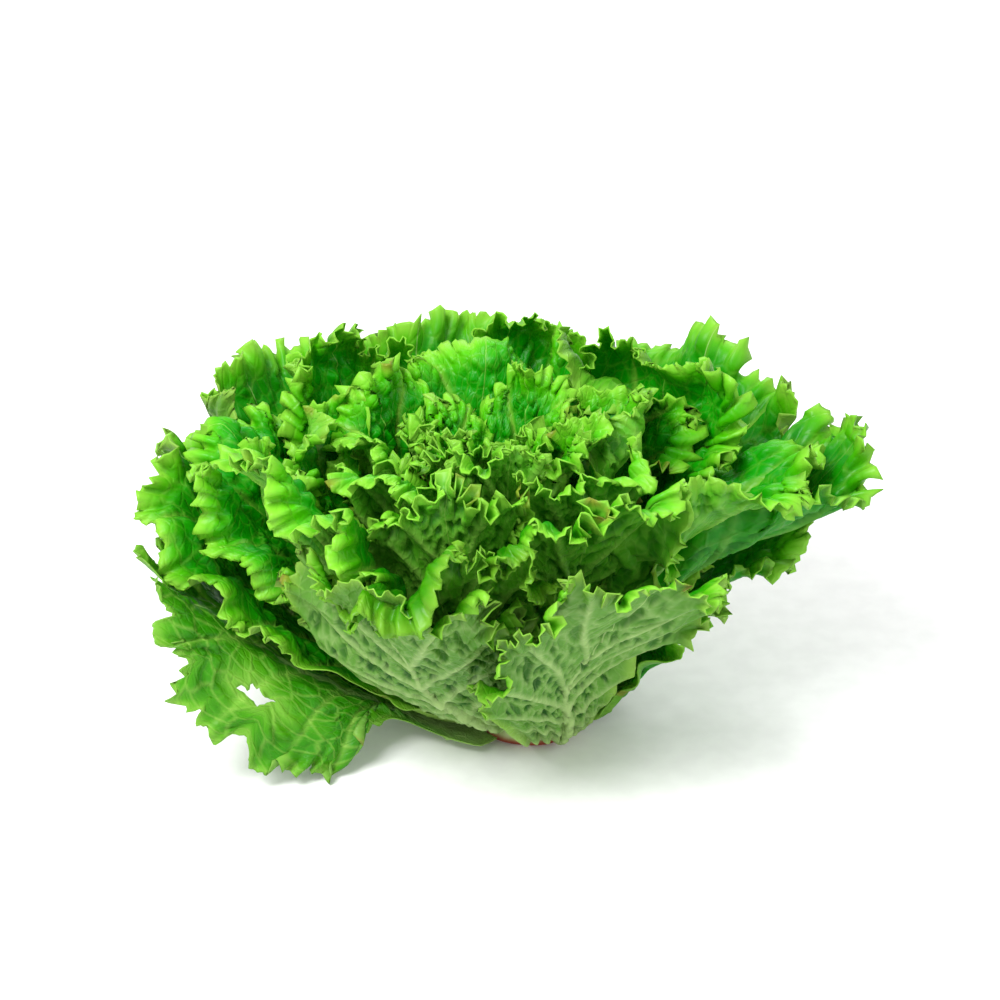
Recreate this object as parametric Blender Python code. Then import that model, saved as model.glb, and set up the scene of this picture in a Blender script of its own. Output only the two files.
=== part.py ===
"""A head of green leaf lettuce, cut at the root and standing on its stump.

Metres, +Z up. The origin is the centre of the stump's cut face, on the surface that the head stands on. Its
front faces -Y. Every leaf is one blade that keeps to its own layer of the head: layers nest from
the outermost, near 0, to the heart, at 1, and a blade's waves stay inside its layer, so no two blades touch.
"""

import math

import bmesh
import bpy
import numpy as np

# A layer's profile from the stem to the crown, as the (radius, height) control points of a cubic curve
OUTER_PROFILE = ((0.0212, 0.0058), (0.0480, 0.0046), (0.0880, 0.0420), (0.1380, 0.1120))
INNER_PROFILE = ((0.0055, 0.0520), (0.0070, 0.0800), (0.0050, 0.1050), (0.0060, 0.1330))
CROWN_DOME = 0.020  # how much higher the crown stands half way between the rim and the heart
# Where the outer layers stand off that profile, as a smooth bulge round the head: azimuth and half width in
# degrees, control point, and its shift in radius and in height
BULGES = (
    (330, 85, 1, -0.017, 0.000),
    (330, 85, 2, -0.038, 0.006),
    (358, 50, 3, 0.031, 0.004),
    (45, 50, 3, 0.012, 0.008),
    (90, 60, 3, 0.000, 0.012),
    (190, 60, 2, -0.008, 0.003),
    (195, 60, 3, -0.004, 0.004),
    (278, 85, 3, -0.018, 0.009),
    (275, 60, 1, -0.006, 0.008),
    (64, 42, 3, 0.000, 0.0085),
    (135, 55, 1, 0.006, -0.0065),
    (135, 50, 2, 0.000, -0.014),
)
LEAN_SHIFT, LEAN_HEIGHT = 0.021, 0.055  # the head leans to -X by this much, all of it above this height
SQUEEZE, SQUEEZE_RADIUS = 0.14, 0.080  # its crown is this much less deep than wide, beyond this radius

# The slow sway that all layers share, as waves across the crown
SWAY_HEIGHT = 0.045  # below this the head is too tight to sway
SWAY_RISE = 0.050
SWAY_WAVES = (
    # direction of travel, direction of shift, wavelength, shift
    ((0.9, 0.4, 0.3), (-0.3, 0.6, 0.7), 0.082, 0.0036),
    ((-0.5, 0.8, 0.4), (0.7, 0.4, 0.6), 0.095, 0.0040),
    ((0.2, -0.9, 0.5), (0.8, -0.2, 0.5), 0.071, 0.0030),
)

# Blade sizes
BLADE = 0.0010  # thickness of a blade
BASE_HALF_ANGLE = 0.62  # half of the stem's circle that a leaf's base clasps, in radians
RIB_FROM, RIB_TO = 0.0030, 0.0013  # thickness of an outer and of an inner midrib at its base
RIB_END = 0.0011  # thickness of a midrib at its tip
WIDEST = 0.62  # where a blade is widest, as a share of its length
TIP_FULL, TIP_BLUNT = 2.2, 0.4  # powers that round the blade off from there to its tip
VEIN_RISE = 0.36  # how far up the midrib the side veins of the widest part start
VEIN_TOP = 0.80  # where on its length a midrib ends in the tip's veins
ROWS = (0.0, 0.38, 0.66, 0.86, 1.0)  # share of the way from the midrib to the margin
TOOTH = 0.05  # share by which the margin's teeth stand out and its notches go in
PLAIN_BASE = 0.34  # share of the margin next to the base, on either side, where it is plain
FOLD_LENGTH = 3.4  # ruffles in each of the slow folds that they ride on
FOLD_GROWTH = 1.3  # power at which the folds grow from the midrib to the margin
RUFFLE_GROWTH = 2.6  # and the same for the ruffles
LEAST_RUFFLE = 0.60  # the shallowest ruffle, as a share of the deepest
RUFFLE_SHARE = 0.75  # share of a blade's free room that its ruffles take up; its folds take the rest
ROOM_USED = 0.84  # share of the free room between two blades that their waves take up
MOST_WAVE = 0.085  # how far a blade waves where no other blade lies over or under it, in layers
# How far outside a blade its neighbours keep room for it, and up to where
CLEAR_ANGLE, FADE_ANGLE = 0.06, 0.26
TIP_ANGLE = 3.0  # angle outside a blade that counts the same as the whole profile beyond its tip

# Leaves round the outside, each placed as it lies: azimuth and half spread in degrees from +X towards +Y,
# layer, reach as a share of the crown's profile, how far the blade sags, and its number of ruffles
OUTER_LEAVES = {
    "low_leaf": (198, 42, -0.060, 0.96, 0.06, 14),
    "left_leaf": (173, 38, 0.030, 1.02, 0.00, 14),
    "front_left_leaf": (250, 42, 0.120, 0.96, 0.00, 14),
    "front_right_leaf": (302, 32, -0.030, 1.00, 0.00, 14),
    "right_leaf": (2, 28, 0.110, 1.03, 0.00, 14),
    "right_low_leaf": (24, 30, -0.060, 0.93, 0.00, 14),
    "back_right_leaf": (45, 38, 0.025, 1.035, 0.00, 14),
    "back_leaf": (101, 39, -0.070, 1.04, 0.00, 14),
    "back_left_leaf": (140, 38, 0.120, 1.07, 0.00, 14),
}
SECOND_LEAVES = {
    "second_leaf_1": (218, 38, 0.310, 1.08, 0.00, 13),
    "second_leaf_2": (263, 38, 0.220, 1.02, 0.00, 13),
    "second_leaf_3": (308, 38, 0.310, 1.04, 0.00, 13),
    "second_leaf_4": (353, 38, 0.220, 1.02, 0.00, 13),
    "second_leaf_5": (38, 38, 0.310, 1.06, 0.00, 13),
    "second_leaf_6": (83, 38, 0.220, 1.02, 0.00, 13),
    "second_leaf_7": (128, 38, 0.310, 1.06, 0.00, 13),
    "second_leaf_8": (173, 38, 0.220, 1.03, 0.00, 13),
}

# Inner leaves follow one another round the stem by the golden angle
INNER_COUNT = 17
INNER_FIRST = 262  # azimuth of the first inner leaf, in degrees
GOLDEN_ANGLE = 137.508
INNER_LAYERS = (0.395, 0.935)
INNER_SPREADS = (42, 58)
INNER_REACH = 1.02
INNER_RUFFLES = 12

# The low leaf's near half hangs beside its midrib down to the table
HANG_WIDTH = 1.12  # the width of the half, as a share of a flat one's
HANG_BASE_WIDTH = 0.09  # its width near its base, as a share of that
HANG_WIDENS, HANG_WIDE = 0.31, 0.63  # share of the profile at which it starts to widen, and is wide
HANG_SHELF = 0.026  # how far the half reaches out before it hangs
HANG_OUT = 0.28  # how far it swings out from the stem for each metre that it hangs
HANG_FROM, HANG_FULL = 0.12, 0.40  # share of the profile at which it starts to hang, and hangs in full
HANG_REST = 0.0007  # height at which the hanging margin rests
HANG_BEND = 0.006  # how gently it bends there

STEM_SIDES, STEM_RINGS = 24, 9
STEM_CUT_RADIUS = 0.0198
STEM_CUT_EDGE = 0.0035  # height over which the stem widens from its cut face
STEM_GAP = 0.0014  # clearance between the stem and the base of every leaf
HEART_LAYER = 0.980  # the leaves keep outside this layer, for the heart
HEART_RADIUS = 0.0052
HEART_BOTTOM, HEART_TOP = 0.0560, 0.1240
HEART_FOOT = 0.55  # radius of the heart's foot, as a share of its widest
HEART_FOLDS, HEART_FOLD_DEPTH = 5, 0.22  # folds round its tip, and their depth as a share of the radius
HEART_TWIST = 2.5  # how far the folds turn from its foot to its tip, in radians
HEART_SIDES, HEART_RINGS = 20, 9


def smooth(value):
    """0 to 1, level at both ends."""
    value = np.clip(value, 0.0, 1.0)
    return value * value * (3 - 2 * value)


def profile(layer, along, across):
    """Radius and height of a layer at an azimuth, along from 0 at the stem to 1 at the crown."""
    weights = (
        (1 - along) ** 3,
        3 * along * (1 - along) ** 2,
        3 * along**2 * (1 - along),
        along**3,
    )
    radius = 0
    height = 0
    for weight, outer, inner in zip(weights, OUTER_PROFILE, INNER_PROFILE):
        radius = radius + weight * (outer[0] + (inner[0] - outer[0]) * layer)
        height = height + weight * (outer[1] + (inner[1] - outer[1]) * layer)
    for azimuth, width, point, wider, higher in BULGES:
        apart = np.abs((across - math.radians(azimuth) + math.pi) % (2 * math.pi) - math.pi)
        share = weights[point] * (1 - smooth(apart / math.radians(width))) * (1 - np.clip(layer, 0, 1))
        radius = radius + wider * share
        height = height + higher * share
    height = height + CROWN_DOME * along**2 * np.sin(math.pi * np.clip(layer, 0, 1))
    return radius, height


def settle(points):
    """Leans, squeezes and sways points of the upright head, all layers together, so that none crosses."""
    moved = points.copy()
    radius = np.hypot(points[..., 0], points[..., 1])
    moved[..., 1] *= 1 - SQUEEZE * smooth(radius / SQUEEZE_RADIUS)
    strength = smooth((points[..., 2] - SWAY_HEIGHT) / SWAY_RISE)
    for travel, shift, wavelength, size in SWAY_WAVES:
        travel = np.array(travel) / np.linalg.norm(travel)
        shift = np.array(shift) / np.linalg.norm(shift)
        wave = np.sin(points @ travel * (2 * math.pi / wavelength)) * strength * size
        moved += wave[..., None] * shift
    moved[..., 0] -= LEAN_SHIFT * smooth(points[..., 2] / LEAN_HEIGHT)
    return moved


def half_angle(along, spread, reach):
    """Angle from a blade's midrib to its margin, at a share of the profile."""
    low = np.clip(1 - along / (WIDEST * reach), 0, 1)
    rise = np.clip((along / reach - WIDEST) / (1 - WIDEST), 0, 1)
    return spread * (1 - rise**TIP_FULL) ** TIP_BLUNT + (BASE_HALF_ANGLE - spread) * smooth(low)


def outline(turn, spread, reach):
    """A blade's margin at turn, from -1 at one side of its base over 0 at its tip to 1 at the other side: its
    angle from the midrib and its share of the profile."""
    top = np.clip(np.abs(turn) * 2, 0, 1)
    low = np.clip(np.abs(turn) * 2 - 1, 0, 1)
    along = WIDEST * reach * (1 - low) + (1 - WIDEST) * reach * np.cos(top * math.pi / 2)
    return np.sign(turn) * half_angle(along, spread, reach), along


def vein_start(turn, reach):
    """Where on the midrib the side vein that runs to the margin at turn starts, as a share of the profile."""
    top = np.clip(np.abs(turn) * 2, 0, 1)
    low = np.clip(np.abs(turn) * 2 - 1, 0, 1)
    return reach * (VEIN_RISE * (1 - low) + (VEIN_TOP - VEIN_RISE) * (1 - top))


def free_room(name, leaves, across, along):
    """How far a leaf may wave outwards and inwards at its points, in layers: part of the way to the next leaf
    that lies there, and more where none does."""
    layer = leaves[name][2]
    outwards = np.full(across.shape, MOST_WAVE)
    inwards = np.full(across.shape, min(MOST_WAVE, HEART_LAYER - layer))
    for other, (azimuth, spread, other_layer, reach, *_) in leaves.items():
        if other == name:
            continue
        apart = np.abs((across - math.radians(azimuth) + math.pi) % (2 * math.pi) - math.pi)
        outside = apart - half_angle(along, math.radians(spread), reach)
        outside = outside + TIP_ANGLE * np.maximum(along - reach, 0)
        uncovered = smooth((outside - CLEAR_ANGLE) / (FADE_ANGLE - CLEAR_ANGLE))
        shared = ROOM_USED * abs(other_layer - layer) / 2
        room = np.minimum(shared + MOST_WAVE * uncovered, MOST_WAVE)
        if other_layer < layer:
            outwards = np.minimum(outwards, room)
        else:
            inwards = np.minimum(inwards, room)
    return outwards, inwards


def blade_surface(name, leaves, seed):
    """Middle surface of a leaf: points by row and column, with the thickness, the angle from the midrib and
    the share of the profile there."""
    azimuth, spread, layer, reach, sag, ruffles = leaves[name]
    draw = np.random.default_rng(seed)
    columns = 2 * ruffles + 1  # one at each fold of the ruffles
    turn = np.linspace(-1, 1, columns)[None, :]
    row = np.array(ROWS)[:, None]
    away_from_base = smooth((1 - np.abs(turn)) / PLAIN_BASE)
    out_and_in = (-1) ** (np.arange(columns) + ruffles)

    tooth = TOOTH * draw.uniform(0, 2, columns) * out_and_in * away_from_base
    margin_angle, margin_along = outline(turn, math.radians(spread), reach)
    start = vein_start(turn, reach)
    angle = margin_angle * row * (1 + tooth * row)
    along = start + (margin_along - start) * row * (1 + tooth * row)
    across = math.radians(azimuth) + angle

    outwards, inwards = free_room(name, leaves, across, along)
    ruffle = out_and_in * draw.uniform(LEAST_RUFFLE, 1, columns) * row**RUFFLE_GROWTH
    fold = np.sin(math.pi * ruffles * turn / FOLD_LENGTH + draw.uniform(0, 2 * math.pi)) * row**FOLD_GROWTH
    wave = (RUFFLE_SHARE * ruffle + (1 - RUFFLE_SHARE) * fold) * away_from_base
    radius, height = profile(layer + np.where(wave < 0, outwards, inwards) * wave, along, across)
    height = height * (1 - sag * smooth(along))
    points = np.stack([radius * np.cos(across), radius * np.sin(across), height], axis=-1)

    rib = RIB_FROM + (RIB_TO - RIB_FROM) * max(layer, 0)
    rib = rib + (RIB_END - rib) * smooth(along / (VEIN_TOP * reach))
    thickness = BLADE + np.maximum(rib - BLADE, 0) * (1 - row) ** 2
    return points, thickness, angle, along


def hang_near_half(points, angle, along, azimuth):
    """Turns the half of a leaf on the side of growing azimuth down from its midrib, to rest on the table."""
    across = np.array([-math.sin(azimuth), math.cos(azimuth), 0])
    outward = np.array([math.cos(azimuth), math.sin(azimuth), 0])
    radius = np.hypot(points[..., 0], points[..., 1])
    widened = HANG_BASE_WIDTH + (1 - HANG_BASE_WIDTH) * smooth((along - HANG_WIDENS) / (HANG_WIDE - HANG_WIDENS))
    sheet = HANG_WIDTH * widened * np.maximum(angle, 0) * radius
    shelf = HANG_SHELF * (1 - np.exp(-sheet / HANG_SHELF))
    drop = sheet - shelf
    hung = outward * (radius + HANG_OUT * drop)[..., None] + across * shelf[..., None]
    above = points[..., 2] - drop - HANG_REST
    hung[..., 2] = HANG_REST + (above + np.sqrt(above**2 + HANG_BEND**2)) / 2
    share = (angle > 0) * smooth((along - HANG_FROM) / (HANG_FULL - HANG_FROM))
    return points + (hung - points) * share[..., None]


def grid_triangles(rows, columns):
    """Triangles of a blade's upper face over its grid of vertices, where the two halves share the midrib."""
    half = columns // 2

    def vertex(row, column):
        if row == 0:
            return min(column, columns - 1 - column)
        return half + 1 + (row - 1) * columns + column

    triangles = []
    for row in range(rows - 1):
        for column in range(columns - 1):
            a = vertex(row, column)
            b = vertex(row, column + 1)
            c = vertex(row + 1, column + 1)
            d = vertex(row + 1, column)
            if (row + column + half) % 2:
                split = ((a, b, d), (b, c, d))
            else:
                split = ((a, b, c), (a, c, d))
            triangles += [t for t in split if len(set(t)) == 3]
    return triangles


def merge_midrib(values):
    """The grid's values as a list of vertices, with the midrib's twin vertices made one."""
    columns = values.shape[1]
    half = columns // 2
    return np.concatenate([values[0, : half + 1], *values[1:]])


def vertex_normals(points, triangles):
    """Unit normals at the vertices of an open sheet."""
    corners = points[triangles]
    faces = np.cross(corners[:, 1] - corners[:, 0], corners[:, 2] - corners[:, 0])
    normals = np.zeros_like(points)
    for corner in range(3):
        np.add.at(normals, triangles[:, corner], faces)
    return normals / np.linalg.norm(normals, axis=1, keepdims=True)


def thicken(points, thickness, triangles):
    """Closes a sheet into a blade: both faces split alike, and a rim round the margin and the base."""
    offset = vertex_normals(points, triangles) * thickness[:, None] / 2
    count = len(points)
    faces = [tuple(t) for t in triangles]
    faces += [tuple(count + v for v in reversed(t)) for t in triangles]
    edges = {edge for a, b, c in triangles for edge in ((a, b), (b, c), (c, a))}
    for a, b in sorted(edges):
        if (b, a) not in edges:
            faces += [(b, a, count + a), (b, count + a, count + b)]
    return np.concatenate([points + offset, points - offset]), faces


def add_solid(name, points, faces, material):
    """A mesh object in place, with its faces turned outwards."""
    mesh = bpy.data.meshes.new(name)
    mesh.from_pydata([tuple(p) for p in points], [], faces)
    work = bmesh.new()
    work.from_mesh(mesh)
    bmesh.ops.recalc_face_normals(work, faces=work.faces)
    work.to_mesh(mesh)
    work.free()
    mesh.shade_smooth()
    mesh.materials.append(material)
    solid = bpy.data.objects.new(name, mesh)
    bpy.context.scene.collection.objects.link(solid)
    return solid


def add_leaf(name, leaves, seed, material):
    """One leaf as a closed blade."""
    points, thickness, angle, along = blade_surface(name, leaves, seed)
    if name == "low_leaf":
        points = hang_near_half(points, angle, along, math.radians(leaves[name][0]))
    points = settle(merge_midrib(points))
    triangles = np.array(grid_triangles(*thickness.shape))
    solid, faces = thicken(points, merge_midrib(thickness), triangles)
    return add_solid(name, solid, faces, material)


def ring_faces(rings, sides):
    """Faces of a closed body of rings of vertices, from its bottom ring to its top ring."""
    faces = [tuple(reversed(range(sides)))]
    for ring in range(rings - 1):
        for side in range(sides):
            turned = (side + 1) % sides
            a = ring * sides
            faces.append((a + side, a + turned, a + sides + turned, a + sides + side))
    faces.append(tuple((rings - 1) * sides + side for side in range(sides)))
    return faces


def add_stem(material):
    """The stump that was cut and the short stem above it, which carries every leaf."""
    (low_radius, low_height), (high_radius, high_height) = OUTER_PROFILE[0], INNER_PROFILE[0]
    rings = [(STEM_CUT_RADIUS, 0.0), (low_radius - STEM_GAP, STEM_CUT_EDGE)]
    for share in np.linspace(0, 1, STEM_RINGS):
        radius = low_radius + (high_radius - low_radius) * share - STEM_GAP
        rings.append((radius, low_height + (high_height - low_height) * share))
    turns = np.arange(STEM_SIDES) * (2 * math.pi / STEM_SIDES)
    points = np.array(
        [(r * math.cos(a), r * math.sin(a), z) for r, z in rings for a in turns]
    )
    return add_solid("stem", settle(points), ring_faces(len(rings), STEM_SIDES), material)


def add_heart(material):
    """The last small leaves, folded round one another into one bud on the tip of the stem."""
    points = []
    for ring in range(HEART_RINGS):
        share = ring / (HEART_RINGS - 1)
        radius = HEART_RADIUS * (HEART_FOOT + (1 - HEART_FOOT) * math.sin(0.75 * math.pi * share))
        height = HEART_BOTTOM + (HEART_TOP - HEART_BOTTOM) * share
        for side in range(HEART_SIDES):
            turn = 2 * math.pi * side / HEART_SIDES
            fold = 1 + HEART_FOLD_DEPTH * share * math.sin(HEART_FOLDS * turn + HEART_TWIST * share)
            points.append((radius * fold * math.cos(turn), radius * fold * math.sin(turn), height))
    return add_solid("heart", settle(np.array(points)), ring_faces(HEART_RINGS, HEART_SIDES), material)


def inner_leaves():
    """The inner leaves by name: each a golden angle on from the last and a layer further in."""
    leaves = {}
    for index in range(INNER_COUNT):
        share = index / (INNER_COUNT - 1)
        layer = INNER_LAYERS[0] + (INNER_LAYERS[1] - INNER_LAYERS[0]) * share
        spread = INNER_SPREADS[0] + (INNER_SPREADS[1] - INNER_SPREADS[0]) * share
        azimuth = (INNER_FIRST + GOLDEN_ANGLE * index) % 360
        leaves[f"inner_leaf_{index + 1:02d}"] = (azimuth, spread, layer, INNER_REACH, 0.0, INNER_RUFFLES)
    return leaves


def leaf_material(name, colour, roughness):
    """A plain matt finish."""
    material = bpy.data.materials.new(name)
    material.use_nodes = True
    shader = material.node_tree.nodes["Principled BSDF"]
    shader.inputs["Base Color"].default_value = (*colour, 1)
    shader.inputs["Roughness"].default_value = roughness
    shader.inputs["Metallic"].default_value = 0
    return material


def main():
    for old in list(bpy.data.objects):
        bpy.data.objects.remove(old)
    outer = leaf_material("outer_leaf", (0.20, 0.42, 0.09), 0.50)
    inner = leaf_material("inner_leaf", (0.26, 0.55, 0.05), 0.45)
    heart = leaf_material("heart_leaf", (0.38, 0.62, 0.12), 0.45)
    stump = leaf_material("stump", (0.62, 0.66, 0.42), 0.60)

    leaves = {**OUTER_LEAVES, **SECOND_LEAVES, **inner_leaves()}
    add_stem(stump)
    add_heart(heart)
    for seed, name in enumerate(leaves):
        add_leaf(name, leaves, seed, outer if name in OUTER_LEAVES else inner)


main()
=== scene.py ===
import math

import bpy
import numpy as np
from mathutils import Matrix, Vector


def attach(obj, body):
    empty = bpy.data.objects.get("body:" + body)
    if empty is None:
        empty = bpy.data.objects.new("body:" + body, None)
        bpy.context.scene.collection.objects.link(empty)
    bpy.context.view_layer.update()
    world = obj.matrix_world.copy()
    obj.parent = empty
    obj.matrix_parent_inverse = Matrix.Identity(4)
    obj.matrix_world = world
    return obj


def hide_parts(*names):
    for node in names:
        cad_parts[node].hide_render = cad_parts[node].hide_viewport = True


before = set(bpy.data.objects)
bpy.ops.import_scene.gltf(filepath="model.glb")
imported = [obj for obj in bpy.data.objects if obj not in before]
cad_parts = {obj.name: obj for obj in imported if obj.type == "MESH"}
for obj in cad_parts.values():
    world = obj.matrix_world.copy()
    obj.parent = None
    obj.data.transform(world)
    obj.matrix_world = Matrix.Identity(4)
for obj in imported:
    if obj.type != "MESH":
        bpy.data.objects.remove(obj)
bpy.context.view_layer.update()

# The stump.
# The short stem that carries every leaf, cut through when the head was picked. It is pale green pith whose
# cut face has dried red-brown at the rim, where the milk of the plant has run out and set.

STUMP_CUT_RADIUS = 0.0198
STUMP_CUT_EDGE = 0.0035  # height over which its grooves start and the bumps of its rim end
STUMP_CUT_RINGS = (0.0, 0.35, 0.7, 0.93, 1.0)  # the rings of its cut face, as shares of that radius
STUMP_BEVEL = 0.0006  # height of the last of them
STUMP_FOOT = (0.0198, 0.0058)  # radius and height where the first leaf sits
STUMP_TIP = (0.0041, 0.0520)
STUMP_SIDES, STUMP_RINGS = 96, 30
STUMP_GROOVES, STUMP_GROOVE_TURN = 7, 40  # grooves that the leaves leave round it, and how far they wind
STUMP_GROOVE = 0.0005  # depth of those grooves
STUMP_BUMPS, STUMP_BUMP = 5, 0.02  # bumps round the rim of the cut, and their height as a share of its radius
STUMP_SPOTS, STUMP_STREAKS = 260.0, 60.0  # spots and streaks of its pith to the metre
LEAN_SHIFT, LEAN_HEIGHT = 0.021, 0.055  # the head leans to -X by this much, all of it above this height
SQUEEZE, SQUEEZE_RADIUS = 0.14, 0.080  # its crown is this much less deep than wide, beyond this radius
SWAY_HEIGHT, SWAY_RISE = 0.045, 0.050  # below this height the head is too tight to sway
SWAY_WAVES = (
    # direction of travel, direction of shift, wavelength, shift
    ((0.9, 0.4, 0.3), (-0.3, 0.6, 0.7), 0.082, 0.0036),
    ((-0.5, 0.8, 0.4), (0.7, 0.4, 0.6), 0.095, 0.0040),
    ((0.2, -0.9, 0.5), (0.8, -0.2, 0.5), 0.071, 0.0030),
)


class Paint:
    """A material's nodes, and one output of them on which sums are written as plain expressions."""

    def __init__(self, tree, output=None):
        self.tree = tree
        self.output = output

    def node(self, kind, settings=(), values=(), output=0):
        """Adds a node: its settings are set first, then its sockets get values or links."""
        node = self.tree.nodes.new("ShaderNode" + kind)
        for setting, value in dict(settings).items():
            setattr(node, setting, value)
        for socket, value in dict(values).items():
            if isinstance(value, Paint):
                self.tree.links.new(value.output, node.inputs[socket])
            else:
                node.inputs[socket].default_value = value
        return Paint(self.tree, node.outputs[output])

    def maths(self, operation, first, second=0.0):
        return self.node("Math", {"operation": operation}, {0: first, 1: second})

    def __add__(self, other):
        return self.maths("ADD", self, other)

    __radd__ = __add__

    def __sub__(self, other):
        return self.maths("SUBTRACT", self, other)

    def __rsub__(self, other):
        return self.maths("SUBTRACT", other, self)

    def __mul__(self, other):
        return self.maths("MULTIPLY", self, other)

    __rmul__ = __mul__

    def rises(self, low, high):
        """0 below low and 1 above high, smooth between them."""
        return self.node(
            "MapRange", {"interpolation_type": "SMOOTHSTEP"}, {0: self, 1: low, 2: high, 3: 0.0, 4: 1.0}
        )

    def blend(self, off, on):
        """The colour off where this is 0 and on where it is 1."""
        return self.node("Mix", {"data_type": "RGBA"}, {0: self, 6: off, 7: on}, output=2)

    def given(self, name, output="Fac"):
        """What the mesh carries under that name."""
        return self.node("Attribute", {"attribute_name": name}, output=output)

    def noise(self, place, scale, detail=2.0):
        """Soft random spots, round 0.5."""
        return self.node(
            "TexNoise",
            {"noise_dimensions": "2D"},
            {"Vector": place, "Scale": scale, "Detail": detail},
            output="Fac",
        )

    def cells(self, place, scale):
        """Distance to the border of random cells."""
        return self.node(
            "TexVoronoi",
            {"feature": "DISTANCE_TO_EDGE", "voronoi_dimensions": "2D"},
            {"Vector": place, "Scale": scale},
            output="Distance",
        )


def colour(red, green, blue):
    """A colour as it looks on a screen, from 0 to 255, in the shader's own light values."""
    shares = [value / 255 for value in (red, green, blue)]
    light = [share / 12.92 if share < 0.0404 else ((share + 0.055) / 1.055) ** 2.4 for share in shares]
    return (*light, 1.0)


def new_finish(name):
    """An empty material: its Paint, its Principled BSDF and its output."""
    material = bpy.data.materials.new(name)
    material.use_nodes = True
    tree = material.node_tree
    return material, Paint(tree), tree.nodes["Principled BSDF"], tree.nodes["Material Output"]


def smooth(value):
    """0 to 1, level at both ends."""
    value = np.clip(value, 0.0, 1.0)
    return value * value * (3 - 2 * value)


def rise(value, low, high):
    """0 up to low and 1 from high, smooth between them."""
    return smooth((value - low) / (high - low))


def settle(points):
    """Leans, squeezes and sways points of the upright head, all layers together."""
    moved = points.copy()
    radius = np.hypot(points[..., 0], points[..., 1])
    moved[..., 1] *= 1 - SQUEEZE * smooth(radius / SQUEEZE_RADIUS)
    strength = smooth((points[..., 2] - SWAY_HEIGHT) / SWAY_RISE)
    for travel, shift, wavelength, size in SWAY_WAVES:
        travel = np.array(travel) / np.linalg.norm(travel)
        shift = np.array(shift) / np.linalg.norm(shift)
        wave = np.sin(points @ travel * (2 * math.pi / wavelength)) * strength * size
        moved += wave[..., None] * shift
    moved[..., 0] -= LEAN_SHIFT * smooth(points[..., 2] / LEAN_HEIGHT)
    return moved


def add_piece(name, node, points, faces, finish, carried=()):
    """A mesh in place of a node of the frame. carried holds the values that its finish reads, by name."""
    mesh = bpy.data.meshes.new(name)
    faces = np.asarray(faces)
    mesh.vertices.add(len(points))
    mesh.vertices.foreach_set("co", points.astype(np.float32).ravel())
    mesh.loops.add(faces.size)
    mesh.loops.foreach_set("vertex_index", faces.astype(np.int32).ravel())
    mesh.polygons.add(len(faces))
    mesh.polygons.foreach_set("loop_start", np.arange(0, faces.size, faces.shape[1], dtype=np.int32))
    mesh.update(calc_edges=True)
    for key, values in dict(carried).items():
        if values.ndim == 1:
            mesh.attributes.new(key, "FLOAT", "POINT").data.foreach_set("value", values.astype(np.float32))
        else:
            row = values.astype(np.float32).ravel()
            mesh.attributes.new(key, "FLOAT_VECTOR", "POINT").data.foreach_set("vector", row)
    mesh.shade_smooth()
    mesh.materials.append(finish)
    piece = bpy.data.objects.new(name, mesh)
    bpy.context.scene.collection.objects.link(piece)
    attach(piece, "root")
    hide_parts(node)
    return piece


def turned_faces(rings, sides):
    """Faces between the rings of a turned body, from its bottom to its top."""
    corner = np.arange(rings * sides).reshape(rings, sides)
    turned = np.roll(corner, -1, axis=1)
    return np.stack([corner[:-1], turned[:-1], turned[1:], corner[1:]], axis=-1).reshape(-1, 4)


def stump_finish():
    """Pale pith, and a red-brown dried rim on the cut."""
    material, paint, shader, _ = new_finish("stump_pith")
    height = paint.given("height")
    middle = paint.given("middle")
    place = paint.node("TexCoord", output="Object")
    spots = paint.noise(place, STUMP_SPOTS, 4.0)
    streaks = paint.noise(place, STUMP_STREAKS, 3.0)
    skin = streaks.rises(0.3, 0.7).blend(colour(196, 204, 150), colour(158, 182, 108))
    face = (middle + 0.25 * (spots - 0.5)).rises(0.55, 0.95).blend(colour(214, 196, 150), colour(150, 62, 40))
    low = 1 - (height + 0.0016 * (spots - 0.5)).rises(0.0010, 0.0042)
    stained = low.blend(skin, face)
    paint.tree.links.new(stained.output, shader.inputs["Base Color"])
    bump = paint.node("Bump", (), {"Strength": 0.6, "Distance": 0.0006, "Height": spots}, output="Normal")
    paint.tree.links.new(bump.output, shader.inputs["Normal"])
    shader.inputs["Roughness"].default_value = 0.55
    return material


def add_stump():
    """A turned body with grooves, from the cut face to the tip."""
    share = np.linspace(0, 1, STUMP_RINGS)[:, None]
    radius = STUMP_FOOT[0] + (STUMP_TIP[0] - STUMP_FOOT[0]) * share
    height = STUMP_FOOT[1] + (STUMP_TIP[1] - STUMP_FOOT[1]) * share
    low = np.array(STUMP_CUT_RINGS)[:, None]
    radius = np.concatenate([STUMP_CUT_RADIUS * low, radius])
    height = np.concatenate([STUMP_BEVEL * (low == 1), height])
    turn = np.linspace(0, 2 * math.pi, STUMP_SIDES, endpoint=False)[None, :]
    winding = STUMP_GROOVES * turn + STUMP_GROOVE_TURN * height / STUMP_TIP[1]
    groove = STUMP_GROOVE * np.sin(winding) * smooth(height / STUMP_CUT_EDGE)
    at_rim = (radius > 0.5 * STUMP_CUT_RADIUS) * (height < STUMP_CUT_EDGE)
    rim = 1 + STUMP_BUMP * np.sin(STUMP_BUMPS * turn + 1.0) * at_rim
    out = radius * rim - groove
    points = np.stack([out * np.cos(turn), out * np.sin(turn), height + 0 * turn], axis=-1)
    faces = turned_faces(len(points), STUMP_SIDES)
    flat = points.reshape(-1, 3)
    carried = {"height": flat[:, 2], "middle": np.hypot(flat[:, 0], flat[:, 1]) / STUMP_CUT_RADIUS}
    return add_piece("stump", "stem", settle(flat), faces, stump_finish(), carried)


add_stump()

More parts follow.
